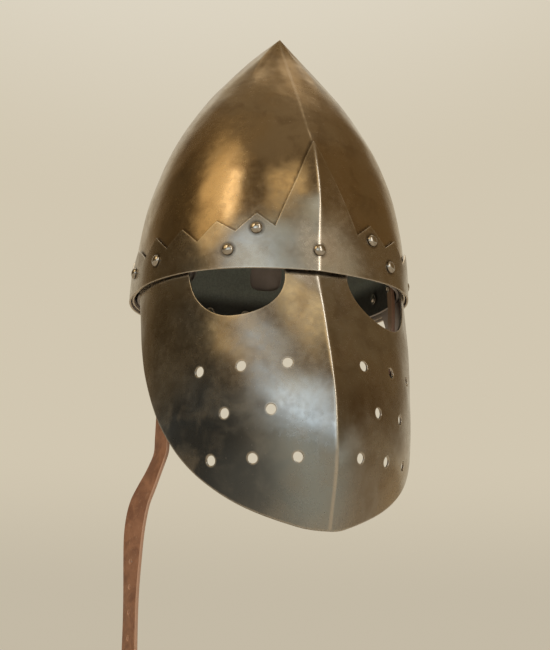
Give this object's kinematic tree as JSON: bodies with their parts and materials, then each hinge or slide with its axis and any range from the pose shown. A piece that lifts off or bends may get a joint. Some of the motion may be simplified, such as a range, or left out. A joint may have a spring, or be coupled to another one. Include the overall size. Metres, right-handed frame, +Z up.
{
  "type": "nasal helmet",
  "caption": "Pointed riveted steel helmet with a dagged brow band, a creased face plate with eye openings and breath holes, a leather liner and chin straps.",
  "frame": {"origin": "centre of the brow rim, the flat loop at the lower edge of the brow band, where the helmet sits round the head", "axes": "+Z up towards the point, -Y the way the face looks, +X towards the wearer's left"},
  "size_m": [0.2242, 0.2647, 0.543],
  "materials": {
    "sheet_steel": "worn satin polish with warm smudges",
    "rivet_steel": "polished domes",
    "buckle_steel": "worn satin",
    "dark_leather": "matt, worn",
    "lace_leather": "matt",
    "brown_leather": "mottled, slightly waxed"
  },
  "bodies": {
    "helmet": {"skull": "sheet_steel", "brow_band": "sheet_steel", "face_plate": "sheet_steel", "liner": "dark_leather", "liner_lace": "lace_leather", "rivet_front": "rivet_steel", "washer_front": "rivet_steel", "rivet_tooth_right": "rivet_steel", "washer_tooth_right": "rivet_steel", "rivet_brow_right": "rivet_steel", "washer_brow_right": "rivet_steel", "rivet_strap_right": "rivet_steel", "washer_strap_right": "rivet_steel", "rivet_temple_right": "rivet_steel", "washer_temple_right": "rivet_steel", "rivet_nape_right": "rivet_steel", "washer_nape_right": "rivet_steel", "rivet_rear_right": "rivet_steel", "washer_rear_right": "rivet_steel", "rivet_seam_right": "rivet_steel", "washer_seam_right": "rivet_steel", "rivet_tooth_left": "rivet_steel", "washer_tooth_left": "rivet_steel", "rivet_brow_left": "rivet_steel", "washer_brow_left": "rivet_steel", "rivet_strap_left": "rivet_steel", "washer_strap_left": "rivet_steel", "rivet_temple_left": "rivet_steel", "washer_temple_left": "rivet_steel", "rivet_nape_left": "rivet_steel", "washer_nape_left": "rivet_steel", "rivet_rear_left": "rivet_steel", "washer_rear_left": "rivet_steel", "rivet_seam_left": "rivet_steel", "washer_seam_left": "rivet_steel"},
    "strap_right": {"chin_strap_right": "brown_leather"},
    "strap_left": {"buckle_strap_left": "brown_leather", "fold_rivet": "rivet_steel"},
    "buckle": {"buckle_frame": "buckle_steel"},
    "prong": {"buckle_prong": "buckle_steel"}
  },
  "joints": [
    {"name": "strap_right_swing", "type": "hinge", "parent": "helmet", "child": "strap_right", "pos_m": [-0.08971, -0.03646, 0.0145], "axis": [0.9706, 0.234, -0.0562], "range_deg": [0, 20]},
    {"name": "strap_left_swing", "type": "hinge", "parent": "helmet", "child": "strap_left", "pos_m": [0.08971, -0.03646, 0.0145], "axis": [0.9706, -0.234, 0.0562], "range_deg": [-12, 15]},
    {"name": "buckle_turn", "type": "hinge", "parent": "strap_left", "child": "buckle", "pos_m": [0.08756, -0.03594, -0.06747], "axis": [-0.2344, -0.9721, 0], "range_deg": [-60, 6]},
    {"name": "prong_lift", "type": "hinge", "parent": "buckle", "child": "prong", "pos_m": [0.08756, -0.03594, -0.06747], "axis": [-0.2344, -0.9721, 0], "range_deg": [0, 14]}
  ]
}
